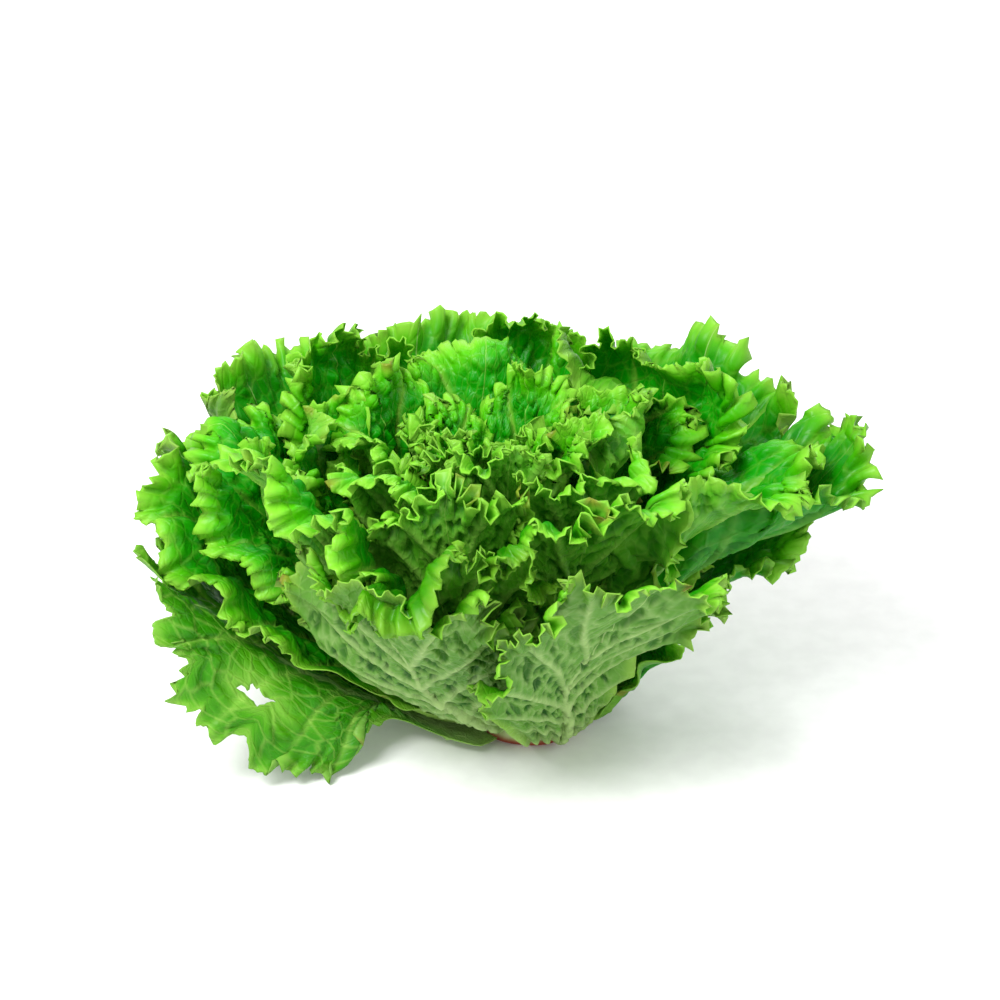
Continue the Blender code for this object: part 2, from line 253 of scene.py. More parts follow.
# The outer leaves.
# Nine old leaves that make the bowl of the head. Each is a thin, juicy blade, puckered between its veins, and
# has a pale midrib that stands out of its underside. Its margin grew longer than the blade, and so it frills.

# Layers nest from the outermost, near 0, to the heart, at 1. Each follows a curve between these two from the
# stem to the crown, given by control points as radius and height
OUTER_PROFILE = ((0.0212, 0.0058), (0.0480, 0.0046), (0.0880, 0.0420), (0.1380, 0.1120))
INNER_PROFILE = ((0.0055, 0.0520), (0.0070, 0.0800), (0.0050, 0.1050), (0.0060, 0.1330))
CROWN_DOME = 0.020  # how much higher the crown stands half way between the rim and the heart
BULGES = (
    # azimuth and half width in degrees, control point, and its shift in radius and in height
    (330, 85, 1, -0.017, 0.000),
    (330, 85, 2, -0.038, 0.006),
    (358, 50, 3, 0.031, 0.004),
    (45, 50, 3, 0.012, 0.008),
    (90, 60, 3, 0.000, 0.012),
    (190, 60, 2, -0.008, 0.003),
    (195, 60, 3, -0.004, 0.004),
    (278, 85, 3, -0.018, 0.009),
    (275, 60, 1, -0.006, 0.008),
    (64, 42, 3, 0.000, 0.0085),
    (135, 55, 1, 0.006, -0.0065),
    (135, 50, 2, 0.000, -0.014),
)
BASE_HALF_ANGLE = 0.62  # half of the stem's circle that a leaf's base clasps, in radians
WIDEST = 0.62  # where a blade is widest, as a share of its length
TIP_FULL, TIP_BLUNT = 2.2, 0.4  # powers that round the blade off from there to its tip
VEIN_RISE, VEIN_TOP = 0.36, 0.80  # where on the midrib the first side veins start, and where it ends
TOOTH = 0.05  # share by which the margin's lobes stand out
PLAIN_BASE = 0.34  # share of the margin next to the base, on either side, where it is plain
FOLD_LENGTH, FOLD_GROWTH = 3.4, 1.3  # ruffles in each slow fold, and the power at which the folds grow
RUFFLE_GROWTH, LEAST_RUFFLE, RUFFLE_SHARE = 2.6, 0.60, 0.75  # that power, least depth and share of ruffles
ROOM_USED, MOST_WAVE = 0.84, 0.085  # share of the free room between blades that they wave in, and their most
CLEAR_ANGLE, FADE_ANGLE, TIP_ANGLE = 0.06, 0.26, 3.0  # how far beside a blade its neighbours make room
HEART_LAYER = 0.980  # the leaves keep outside this layer, for the heart
OUTER_LEAVES = {
    # azimuth and half spread in degrees, layer, reach, sag, ruffles
    "low_leaf": (198, 42, -0.060, 0.96, 0.06, 14),
    "left_leaf": (173, 38, 0.030, 1.02, 0.00, 14),
    "front_left_leaf": (250, 42, 0.120, 0.96, 0.00, 14),
    "front_right_leaf": (302, 32, -0.030, 1.00, 0.00, 14),
    "right_leaf": (2, 28, 0.110, 1.03, 0.00, 14),
    "right_low_leaf": (24, 30, -0.060, 0.93, 0.00, 14),
    "back_right_leaf": (45, 38, 0.025, 1.035, 0.00, 14),
    "back_leaf": (101, 39, -0.070, 1.04, 0.00, 14),
    "back_left_leaf": (140, 38, 0.120, 1.07, 0.00, 14),
}
SECOND_LEAVES = {
    "second_leaf_1": (218, 38, 0.310, 1.08, 0.00, 13),
    "second_leaf_2": (263, 38, 0.220, 1.02, 0.00, 13),
    "second_leaf_3": (308, 38, 0.310, 1.04, 0.00, 13),
    "second_leaf_4": (353, 38, 0.220, 1.02, 0.00, 13),
    "second_leaf_5": (38, 38, 0.310, 1.06, 0.00, 13),
    "second_leaf_6": (83, 38, 0.220, 1.02, 0.00, 13),
    "second_leaf_7": (128, 38, 0.310, 1.06, 0.00, 13),
    "second_leaf_8": (173, 38, 0.220, 1.03, 0.00, 13),
}
INNER_COUNT, INNER_FIRST, GOLDEN_ANGLE = 17, 262, 137.508
INNER_LAYERS, INNER_SPREADS, INNER_REACH, INNER_RUFFLES = (0.395, 0.935), (42, 58), 1.02, 12
# The low leaf's near half hangs beside its midrib down to the table: its width, how far it reaches out before
# it hangs, how far it swings out for each metre, its width at its base, where it widens and is wide, where it
# starts to hang and hangs in full, and the height and the bend at which its margin rests
HANG_WIDTH, HANG_SHELF, HANG_OUT = 1.12, 0.026, 0.28
HANG_BASE_WIDTH, HANG_WIDENS, HANG_WIDE = 0.09, 0.31, 0.63
HANG_FROM, HANG_FULL, HANG_REST, HANG_BEND = 0.12, 0.40, 0.0007, 0.006

BLADE = 0.0005  # thickness of the blade
RIB_FROM, RIB_TO, RIB_END = 0.0030, 0.0013, 0.0008  # thickness of an outer midrib, an inner one, and the tips
RIB_WIDTH = 0.10  # share of the way to the margin over which the midrib thins out to the blade
RIB_TAPER, RIB_POWER = 1.05, 1.5  # where its colour would end, and the power at which it thins out
FLAT_WIDTH, FLAT_LENGTH = (0.03, 0.09), 0.16  # a flat blade's width for each radian, and length
# Frills, from the widest to the narrowest: their length along the margin, height, how far they lean over as a
# share of their length, and how far they reach in from the margin
OUTER_FRILLS = ((0.0130, 0.0052, 0.14, 0.023), (0.0068, 0.0031, 0.10, 0.012), (0.0042, 0.0014, 0.06, 0.006))
FRILL_DRIFT, FRILL_DRIFT_STEP = 0.60, 1.7  # how far they stray from an even pitch, and over how many frills
FRILL_STRENGTH, FRILL_VARIES, FRILL_STEP = 0.72, 0.55, 2.3  # share of their height, its change, and its step
FRILL_GROWTH = 1.5  # power at which they grow towards the margin
FRILLED = (0.55, 0.80)  # share of a blade at which its margin starts to frill, and frills in full
LOW_FRILLED, LOW_CALM = (0.36, 0.56), 0.26  # the same for the low leaf, and how much of the frills it has
PLAIN_SIDES = (0.30, 0.62)  # share of a blade up to which its sides stay plain, and from which they wave
# The band at the margin that rolls outwards: its width, its turn and how much that varies, over which length
OUTER_ROLL = (0.013, 0.5, 1.1)
ROLL_STEP = 0.024
# Lobes and pointed teeth along the margin, from coarse to fine: their pitch, depth, the width of the band
# that they reshape, and how narrow the notches between them are
TEETH = ((0.0250, 0.0050, 0.018, 3.5), (0.0100, 0.0032, 0.010, 1.0), (0.0046, 0.0018, 0.005, 0.9))
TOOTH_DRIFT, TOOTH_DRIFT_STEP = 0.5, 1.9  # how far they stray from an even pitch, and over how many teeth
TOOTH_STRENGTH, TOOTH_VARIES, TOOTH_STEP = 0.7, 0.6, 1.3  # share of their depth, its change, and its step
VEIN_TURNS = (0.10, 0.24, 0.37, 0.50, 0.64, 0.79)  # where on either half the side veins run to the margin
VEIN_RIDGE, VEIN_WIDTH = 0.0009, 0.0017  # height of a side vein on the underside, and half its width
VEIN_BROAD, VEIN_TAPER, VEIN_FADE = 1.3, 0.9, 0.25  # its width at the midrib, its taper, and where it fades
# Puckers between the veins: their size across and along, their depth, and over what band they start at the
# margin. The net of veins round them bends by so many cells, so often, from this phase
OUTER_PUCKERS = ((0.0046, 0.0096), 0.0026, 0.021)
LOW_PUCKERS = ((0.0110, 0.0130), 0.0014, 0.020)
PUCKER_BENDS = ((0.30, 330, 1.3), (0.4, 110, 0))
PUCKER_RIM, PUCKER_BORDER, PUCKER_RIDGE = 0.003, 0.6, 0.22  # plain rim, and how broad slopes and ridges are
PUCKER_LEAST, PUCKER_GAIN, PUCKER_DEEPEST = 0.15, 0.95, 0.8  # least depth, most added to it, share with less
PUCKER_LIFT = 0.3  # how far the blade lifts between them, as a share of their depth
CELL_SEEDS, CELL_TURNS, CELL_DRAW = (127.1, 311.7), (1.37, 2.11), 437.5  # what scatters the cells of puckers
CELL_JITTER = 0.38  # how far a cell's centre strays
PLEAT_ANGLE, PLEAT_DEPTH = 0.135, 0.0013  # pleats that fan out from a leaf's base: angle between them, depth
PLEAT_DRIFT = (2.2, 3.1)  # how far they stray from an even angle, and how often
PLEAT_FULL, PLEAT_END, PLEAT_FADE = 0.15, 0.62, 0.35  # share of the profile where they are deep, end and fade
# Where a leaf folds over at its margin: place along the margin from -1 over 0 at the tip to 1, half width
# there, width of the band that folds, and how far it folds outwards, in radians
FLAPS = {
    "left_leaf": ((0.25, 0.26, 0.024, 1.4), (-0.22, 0.22, 0.020, -1.2)),
    "right_leaf": ((-0.43, 0.38, 0.034, -1.8), (0.26, 0.22, 0.022, 1.3)),
    "back_right_leaf": ((-0.26, 0.18, 0.022, -1.4), (0.14, 0.18, 0.020, 1.3)),
    "back_leaf": ((0.25, 0.26, 0.024, -1.4),),
    "back_left_leaf": ((0.16, 0.20, 0.022, -1.4), (-0.20, 0.16, 0.020, 1.3)),
    "second_leaf_1": ((0.25, 0.29, 0.032, 1.7), (-0.28, 0.20, 0.024, -1.5)),
    "second_leaf_2": ((-0.16, 0.21, 0.033, 2.0), (0.20, 0.14, 0.022, 1.5)),
    "second_leaf_3": ((0.28, 0.17, 0.034, 2.1), (-0.20, 0.14, 0.020, 1.2)),
    "second_leaf_4": ((-0.25, 0.22, 0.024, -1.4), (0.25, 0.24, 0.022, 1.3)),
    "second_leaf_5": ((0.12, 0.42, 0.036, -1.9),),
    "second_leaf_6": ((-0.04, 0.26, 0.026, -1.6),),
    "second_leaf_7": ((-0.10, 0.26, 0.026, -1.5), (0.32, 0.15, 0.020, 1.4)),
    "second_leaf_8": ((-0.30, 0.16, 0.024, -1.7), (0.00, 0.14, 0.020, 1.6), (0.30, 0.20, 0.027, 1.9)),
}
# Curls of the inner leaves: how many, their least and most in the terms of the folds above, and their seed
CURLS, CURL_FROM, CURL_TO = 4, (-0.45, 0.08, 0.013, 0.9), (0.45, 0.17, 0.022, 2.1)
CURL_SEED = 1000
FLAP_CALM = 0.42  # how much less a fold's margin frills
FLAP_EASE = 1.6  # how soon a fold is full, from its ends
FOLD_STEADY, ROLL_STEADY = 22, 2  # columns to either side over which a fold and a roll keep one direction
STEADY_BAND = 1.3  # the band over which they keep it, as a share of the one that folds
LEAST_FOLD = 0.02  # the least turn that counts as a bend, in radians
# Lobes and teeth as in TEETH of a torn leaf, how far its lobes grow past the margin, and over what band
TEARS = {"low_leaf": ((0.0300, 0.0190, 0.046, 2.0), (0.0100, 0.0048, 0.012, 0.8))}
TEAR_GROWTH, TEAR_BAND = 0.0065, 0.046
HOLES = {"low_leaf": (0.030, 0.115, 0.0050)}  # a hole: its place across and along the flat blade, and radius
HOLE_RAGS = ((0.22, 4, 1), (0.12, 9, 0))  # rags round it: their size as a share, how many, and their phase
FINE_ROWS = ((0.40, 15, 4), (0.80, 20, 2), (1.0, 11, 1))  # up to this share of a vein: rows, columns skipped
OUTER_COLUMNS, OUTER_DENSE = 448, 0.75  # columns, and how far apart they lie at the tip; 1 is even
FLOOR_CLEAR, FLOOR_EASE = 0.0003, 0.0006  # the least height of a leaf over the table, and how softly it rests


def all_leaves():
    """Every leaf of the head, from the outermost to the heart."""
    leaves = {**OUTER_LEAVES, **SECOND_LEAVES}
    for index in range(INNER_COUNT):
        share = index / (INNER_COUNT - 1)
        layer = INNER_LAYERS[0] + (INNER_LAYERS[1] - INNER_LAYERS[0]) * share
        spread = INNER_SPREADS[0] + (INNER_SPREADS[1] - INNER_SPREADS[0]) * share
        azimuth = (INNER_FIRST + GOLDEN_ANGLE * index) % 360
        leaves[f"inner_leaf_{index + 1:02d}"] = (azimuth, spread, layer, INNER_REACH, 0.0, INNER_RUFFLES)
    return leaves


def profile(layer, along, across):
    """Radius and height of a layer at an azimuth, along from 0 at the stem to 1 at the crown."""
    weights = ((1 - along) ** 3, 3 * along * (1 - along) ** 2, 3 * along**2 * (1 - along), along**3)
    radius = 0
    height = 0
    for weight, outer, inner in zip(weights, OUTER_PROFILE, INNER_PROFILE):
        radius = radius + weight * (outer[0] + (inner[0] - outer[0]) * layer)
        height = height + weight * (outer[1] + (inner[1] - outer[1]) * layer)
    for azimuth, width, point, wider, higher in BULGES:
        apart = np.abs((across - math.radians(azimuth) + math.pi) % (2 * math.pi) - math.pi)
        share = weights[point] * (1 - smooth(apart / math.radians(width))) * (1 - np.clip(layer, 0, 1))
        radius = radius + wider * share
        height = height + higher * share
    height = height + CROWN_DOME * along**2 * np.sin(math.pi * np.clip(layer, 0, 1))
    return radius, height


def half_angle(along, spread, reach):
    """Angle from a blade's midrib to its margin, at a share of the profile."""
    low = np.clip(1 - along / (WIDEST * reach), 0, 1)
    high = np.clip((along / reach - WIDEST) / (1 - WIDEST), 0, 1)
    return spread * (1 - high**TIP_FULL) ** TIP_BLUNT + (BASE_HALF_ANGLE - spread) * smooth(low)


def outline(turn, spread, reach):
    """A blade's margin at turn, from -1 at one side of its base over 0 at its tip to 1: its angle from the
    midrib and its share of the profile, and where its side vein starts."""
    top = np.clip(np.abs(turn) * 2, 0, 1)
    low = np.clip(np.abs(turn) * 2 - 1, 0, 1)
    along = WIDEST * reach * (1 - low) + (1 - WIDEST) * reach * np.cos(top * math.pi / 2)
    start = reach * (VEIN_RISE * (1 - low) + (VEIN_TOP - VEIN_RISE) * (1 - top))
    return np.sign(turn) * half_angle(along, spread, reach), along, start


def free_room(name, leaves, across, along):
    """How far a leaf may wave outwards and inwards at its points, in layers."""
    layer = leaves[name][2]
    outwards = np.full(across.shape, MOST_WAVE)
    inwards = np.full(across.shape, min(MOST_WAVE, HEART_LAYER - layer))
    for other, (azimuth, spread, other_layer, reach, *_) in leaves.items():
        if other == name:
            continue
        apart = np.abs((across - math.radians(azimuth) + math.pi) % (2 * math.pi) - math.pi)
        outside = apart - half_angle(along, math.radians(spread), reach)
        outside = outside + TIP_ANGLE * np.maximum(along - reach, 0)
        uncovered = rise(outside, CLEAR_ANGLE, FADE_ANGLE)
        room = np.minimum(ROOM_USED * abs(other_layer - layer) / 2 + MOST_WAVE * uncovered, MOST_WAVE)
        if other_layer < layer:
            outwards = np.minimum(outwards, room)
        else:
            inwards = np.minimum(inwards, room)
    return outwards, inwards


def hang_near_half(points, angle, along, azimuth):
    """Turns the half of a leaf on the side of growing azimuth down from its midrib, to rest on the table."""
    across = np.array([-math.sin(azimuth), math.cos(azimuth), 0])
    outward = np.array([math.cos(azimuth), math.sin(azimuth), 0])
    radius = np.hypot(points[..., 0], points[..., 1])
    wide = rise(along, HANG_WIDENS, HANG_WIDE)
    widened = HANG_BASE_WIDTH + (1 - HANG_BASE_WIDTH) * wide
    sheet = HANG_WIDTH * widened * np.maximum(angle, 0) * radius
    shelf = HANG_SHELF * (1 - np.exp(-sheet / HANG_SHELF))
    drop = sheet - shelf
    hung = outward * (radius + HANG_OUT * drop)[..., None] + across * shelf[..., None]
    above = points[..., 2] - drop - HANG_REST
    hung[..., 2] = HANG_REST + (above + np.sqrt(above**2 + HANG_BEND**2)) / 2
    share = (angle > 0) * rise(along, HANG_FROM, HANG_FULL)
    return points + (hung - points) * share[..., None]


def between(values, place):
    """Values at whole numbers, read smoothly at places between them."""
    place = np.clip(place, 0, len(values) - 1.000001)
    low = np.floor(place).astype(int)
    share = (1 - np.cos((place - low) * math.pi)) / 2
    return values[low] * (1 - share) + values[low + 1] * share


def wander(length, step, draw):
    """A smooth random drift between -1 and 1 along a length."""
    values = draw.uniform(-1, 1, int(length.max() / step) + 3)
    return between(values, length / step)


def unit(vectors):
    """Vectors of length 1 with the same directions."""
    return vectors / np.maximum(np.linalg.norm(vectors, axis=-1, keepdims=True), 1e-12)


def lie(points):
    """Directions along the margin, towards the margin and out of the underside, at every point of a sheet."""
    along_margin = unit(np.gradient(points, axis=1))
    to_margin = np.gradient(points, axis=0)
    to_margin = unit(to_margin - along_margin * np.sum(to_margin * along_margin, axis=-1, keepdims=True))
    return along_margin, to_margin, np.cross(along_margin, to_margin)


def margin_length(points):
    """Length along the margin, from one side of the base to the other, in metres."""
    steps = np.linalg.norm(np.diff(points[-1], axis=0), axis=1)
    return np.concatenate([[0], np.cumsum(steps)])


def frill(points, inset, size, share, draw):
    """Frills that grow towards the margin and lean over there, so that they curl."""
    pitch, height, lean, reach = size
    length = margin_length(points)
    along_margin, _, outward = lie(points)
    phase = 2 * math.pi * (length / pitch + FRILL_DRIFT * wander(length, FRILL_DRIFT_STEP * pitch, draw))
    strength = FRILL_STRENGTH + FRILL_VARIES * wander(length, FRILL_STEP * pitch, draw)
    grown = np.clip(1 - inset / reach, 0, 1) ** FRILL_GROWTH * strength * share
    points = points + outward * (height * grown * np.sin(phase))[..., None]
    return points - along_margin * (lean * pitch * grown**2 * np.sin(2 * phase))[..., None]


def steady(vectors, inside, columns):
    """One direction for each column, averaged over the band inside and so many columns to either side."""
    mean = (vectors * inside[..., None]).sum(axis=0)
    mean = np.pad(mean, ((columns + 1, columns), (0, 0)), mode="edge").cumsum(axis=0)
    return unit(mean[2 * columns + 1 :] - mean[: -2 * columns - 1])


def roll_margin(points, inset, width, turn_by, columns):
    """Rolls the band along the margin outwards by so many radians, or inwards where they are negative."""
    _, to_margin, outward = lie(points)
    inside = (inset < STEADY_BAND * width) * 1.0
    to_margin, outward = (steady(vectors, inside, columns) for vectors in (to_margin, outward))
    depth = np.clip(width - inset, 0, None)
    bend = width / np.maximum(np.abs(turn_by), LEAST_FOLD)
    angle = depth / bend
    out = bend * (1 - np.cos(angle)) * np.sign(turn_by)
    back = depth - bend * np.sin(angle)
    return points + outward * out[..., None] - to_margin * back[..., None]


def jitter_cells(place):
    """Distance from each place to the border of its random cell of size 1, and the cell's random share."""
    corner = np.floor(place).astype(int)
    nearest = np.full(place.shape[:-1], 9.0)
    second = np.full(place.shape[:-1], 9.0)
    chance = np.zeros(place.shape[:-1])
    for column in (-1, 0, 1):
        for row in (-1, 0, 1):
            cell = corner + (column, row)
            seed = cell[..., 0] * CELL_SEEDS[0] + cell[..., 1] * CELL_SEEDS[1]
            stray = np.stack([np.sin(seed * CELL_TURNS[0]), np.cos(seed * CELL_TURNS[1])], axis=-1)
            distance = np.linalg.norm(place - (cell + 0.5 + CELL_JITTER * stray), axis=-1)
            chance = np.where(distance < nearest, (np.sin(seed) * CELL_DRAW) % 1, chance)
            second = np.minimum(second, np.maximum(distance, nearest))
            nearest = np.minimum(nearest, distance)
    return second - nearest, chance


def pucker(points, flat, inset, turn, row, pleat, size, depth, calm):
    """Lifts the veins out of the underside, so that the blade between them puckers inwards. Gives the new
    points, how much of a vein and of a ridge each is, and how deep in a pucker it lies."""
    _, _, outward = lie(points)
    bend = sum(much * np.sin(flat[..., ::-1] * often + phase) for much, often, phase in PUCKER_BENDS)
    border, chance = jitter_cells(flat / np.array(size) + bend)
    cells = smooth(border / PUCKER_BORDER)
    stride = np.linalg.norm(np.gradient(points, axis=1), axis=-1)
    stride = stride / np.maximum(np.gradient(turn, axis=1), 1e-9)
    vein = np.zeros(cells.shape)
    for place in VEIN_TURNS:
        for side in (-place, place):
            apart = np.abs(turn - side) * stride / (VEIN_WIDTH * (VEIN_BROAD - VEIN_TAPER * row))
            vein = np.maximum(vein, np.exp(-(apart**2)) * smooth((1 - row) / VEIN_FADE))
    fade = smooth((inset - PUCKER_RIM) / calm)
    hollow = cells * (1 - vein) * fade * (PUCKER_LEAST + PUCKER_GAIN * smooth(chance / PUCKER_DEEPEST))
    lift = depth * (PUCKER_LIFT * fade - hollow) + VEIN_RIDGE * vein + pleat
    ridge = (1 - smooth(border / PUCKER_RIDGE)) * fade
    return points + outward * lift[..., None], vein, ridge, hollow


def soft_floor(height, least):
    """Heights that ease off towards the least height and don't go below it."""
    above = height - least
    return least + (above + np.sqrt(above**2 + FLOOR_EASE**2)) / 2


def sheet_grid(columns, rows, dense):
    """Rows as shares of a vein, columns as turns, and how many columns each row skips."""
    steps = np.linspace(-1, 1, columns + 1)
    turn = steps * (dense + (1 - dense) * steps**2)
    shares, skips, low = [0.0], [rows[0][2]], 0.0
    for high, count, skip in rows:
        shares += list(low + (high - low) * np.arange(1, count + 1) / count)
        skips += [skip] * count
        low = high
    return np.array(shares)[:, None], turn[None, :], skips


def bare_blade(name, leaves, row, turn, draw):
    """Middle surface of a leaf with its ruffles alone, as in the solids: its points, with the angle from the
    midrib, the share of the profile and the radius there."""
    azimuth, spread, layer, reach, sag, ruffles = leaves[name]
    folds = 2 * ruffles + 1
    out_and_in = (-1) ** (np.arange(folds) + ruffles)
    teeth = draw.uniform(0, 2, folds)
    depths = draw.uniform(LEAST_RUFFLE, 1, folds)
    fold_phase = draw.uniform(0, 2 * math.pi)
    place = (turn + 1) * ruffles
    away_from_base = smooth((1 - np.abs(turn)) / PLAIN_BASE)

    tooth = TOOTH * between(teeth * out_and_in, place) * away_from_base
    margin_angle, margin_along, start = outline(turn, math.radians(spread), reach)
    angle = margin_angle * row * (1 + tooth * row)
    along = start + (margin_along - start) * row * (1 + tooth * row)
    across = math.radians(azimuth) + angle

    outwards, inwards = free_room(name, leaves, across, along)
    waved = rise(along / reach, *PLAIN_SIDES)
    ruffle = between(out_and_in * depths, place) * row**RUFFLE_GROWTH * waved
    fold = np.sin(math.pi * ruffles * turn / FOLD_LENGTH + fold_phase) * row**FOLD_GROWTH
    wave = (RUFFLE_SHARE * ruffle + (1 - RUFFLE_SHARE) * fold) * away_from_base
    radius, height = profile(layer + np.where(wave < 0, outwards, inwards) * wave, along, across)
    height = height * (1 - sag * smooth(along))
    points = np.stack([radius * np.cos(across), radius * np.sin(across), height], axis=-1)
    if name == "low_leaf":
        points = hang_near_half(points, angle, along, math.radians(azimuth))
    return settle(points), angle, along, radius


def margin_folds(name, seed):
    """Where a leaf's margin folds over, in the terms of FLAPS. Those of the inner leaves are random."""
    if not name.startswith("inner"):
        return FLAPS.get(name, ())
    draw = np.random.default_rng(CURL_SEED + seed)
    folds = draw.uniform(CURL_FROM, CURL_TO, (CURLS, 4))
    folds[:, 3] *= [draw.choice((-1, 1)) for _ in range(CURLS)]
    return folds


def cut_margin(points, flat, inset, cuts, growth, share, draw):
    """Grows the margin by so much and cuts lobes and teeth into it. Gives the new points and flat places."""
    _, to_margin, _ = lie(points)
    length = margin_length(points)
    grown = growth * share * smooth(1 - inset / TEAR_BAND)
    for pitch, deep, band, narrow in cuts:
        drift = TOOTH_DRIFT * wander(length, TOOTH_DRIFT_STEP * pitch, draw)
        notch = np.abs(((length / pitch + drift) % 1) - 0.5) * 2
        strength = TOOTH_STRENGTH + TOOTH_VARIES * wander(length, TOOTH_STEP * pitch, draw)
        notch = notch**narrow * strength * share[-1]
        grown = grown - deep * notch * smooth(1 - inset / band)
    grown = grown[..., None]
    return points + to_margin * grown, flat + unit(np.gradient(flat, axis=0)) * grown


def past_hole(flat, seed, hole):
    """Distance from the ragged margin of a hole, below 0 inside it."""
    across, along, size = hole
    offset = flat - (seed + across, along)
    bearing = np.arctan2(offset[..., 1], offset[..., 0])
    rags = sum(share * np.sin(count * bearing + phase) for share, count, phase in HOLE_RAGS)
    return np.linalg.norm(offset, axis=-1) - size * (1 + rags)


def leaf_sheet(name, leaves, seed, columns, rows, dense, frills, roll, puckers):
    """Middle surface of a leaf with all its frills, with what its finish needs to know of it."""
    low = name == "low_leaf"
    layer, reach = leaves[name][2:4]
    draw = np.random.default_rng(seed)
    row, turn, skips = sheet_grid(columns, rows, dense)
    points, angle, along, radius = bare_blade(name, leaves, row, turn, draw)
    steps = np.linalg.norm(np.diff(points, axis=0), axis=-1)
    inset = np.concatenate([np.cumsum(steps[::-1], axis=0)[::-1], np.zeros((1, points.shape[1]))])
    flat_width = angle * (FLAT_WIDTH[0] + FLAT_WIDTH[1] * along)
    flat = np.stack([flat_width, along * FLAT_LENGTH], axis=-1) + (seed, 0)

    fan = smooth(along / PLEAT_FULL) * smooth((PLEAT_END - along) / PLEAT_FADE) * (not low)
    pleats = 2 * math.pi * angle / PLEAT_ANGLE + PLEAT_DRIFT[0] * np.sin(PLEAT_DRIFT[1] * angle + seed)
    pleat = PLEAT_DEPTH * np.sin(pleats) * fan
    puckers = LOW_PUCKERS if low else puckers
    points, vein, ridge, dimple = pucker(points, flat, inset, turn, row, pleat, *puckers)

    calm = 1.0
    for centre, half, width, fold_by in margin_folds(name, seed):
        folded = smooth(FLAP_EASE * (1 - np.abs(turn[0] - centre) / half))
        points = roll_margin(points, inset, width, fold_by * folded, FOLD_STEADY)
        calm = calm * (1 - FLAP_CALM * folded)
    toothed = rise(along / reach, *(LOW_FRILLED if low else FRILLED)) * calm
    frilled = toothed * (LOW_CALM if low else 1)
    varied = roll[1] + roll[2] * wander(margin_length(points), ROLL_STEP, draw)
    points = roll_margin(points, inset, roll[0], varied * frilled[-1] * calm, ROLL_STEADY)
    for size in frills:
        points = frill(points, inset, size, frilled, draw)
    cuts = (*TEETH, *TEARS.get(name, ()))
    growth = TEAR_GROWTH if name in TEARS else 0
    points, flat = cut_margin(points, flat, inset, cuts, growth, toothed, draw)
    points[..., 2] = soft_floor(points[..., 2], FLOOR_CLEAR + BLADE)
    gone = np.zeros(inset.shape)
    if name in HOLES:
        gone = past_hole(flat, seed, HOLES[name])
        inset = np.minimum(inset, np.maximum(gone, 0))
        gone = (gone < 0) * 1.0
    carried = {
        "gone": gone,
        "edge": inset,
        "share": along / reach + 0 * angle,
        "rib": np.abs(angle) * radius / (RIB_TAPER - np.clip(along / (VEIN_TOP * reach), 0, 1)),
        "vein": vein,
        "ridge": ridge,
        "dimple": dimple,
        "flat": np.concatenate([flat, np.zeros((*flat.shape[:2], 1))], axis=-1),
    }
    rib = RIB_FROM + (RIB_TO - RIB_FROM) * max(layer, 0)
    rib = rib + (RIB_END - rib) * smooth(along / (VEIN_TOP * reach))
    thickness = BLADE + np.maximum(rib - BLADE, 0) * np.clip(1 - row / RIB_WIDTH, 0, 1) ** RIB_POWER
    return points, thickness, skips, carried


def sheet_faces(points, skips):
    """Number of each vertex in the sheet, with the two halves of the midrib as one, and its triangles."""
    rows, width = points.shape[:2]
    last = width - 1
    number = np.full((rows, width), -1)
    half = last // 2
    kept = np.arange(0, half + 1, skips[0])
    number[0, kept] = np.arange(len(kept))
    number[0, last - kept] = number[0, kept]
    count = len(kept)
    for row in range(1, rows):
        kept = np.arange(0, width, skips[row])
        number[row, kept] = count + np.arange(len(kept))
        count += len(kept)
    faces = []
    for row in range(rows - 1):
        skip, finer = skips[row], skips[row + 1]
        left = np.arange(0, last, skip)
        right = left + skip
        a, b = number[row, left], number[row, right]
        c, d = number[row + 1, right], number[row + 1, left]
        if finer < skip:
            middle = number[row + 1, left + finer]
            faces += [np.stack(t, axis=-1) for t in ((a, b, middle), (b, c, middle), (a, middle, d))]
            continue
        if row == 0:
            falling = left >= half
        else:
            one = np.linalg.norm(points[row, left] - points[row + 1, right], axis=-1)
            other = np.linalg.norm(points[row, right] - points[row + 1, left], axis=-1)
            falling = one < other
        faces.append(np.stack([a, b, np.where(falling, c, d)], axis=-1))
        faces.append(np.stack([np.where(falling, a, b), c, d], axis=-1))
    return number, np.concatenate(faces)


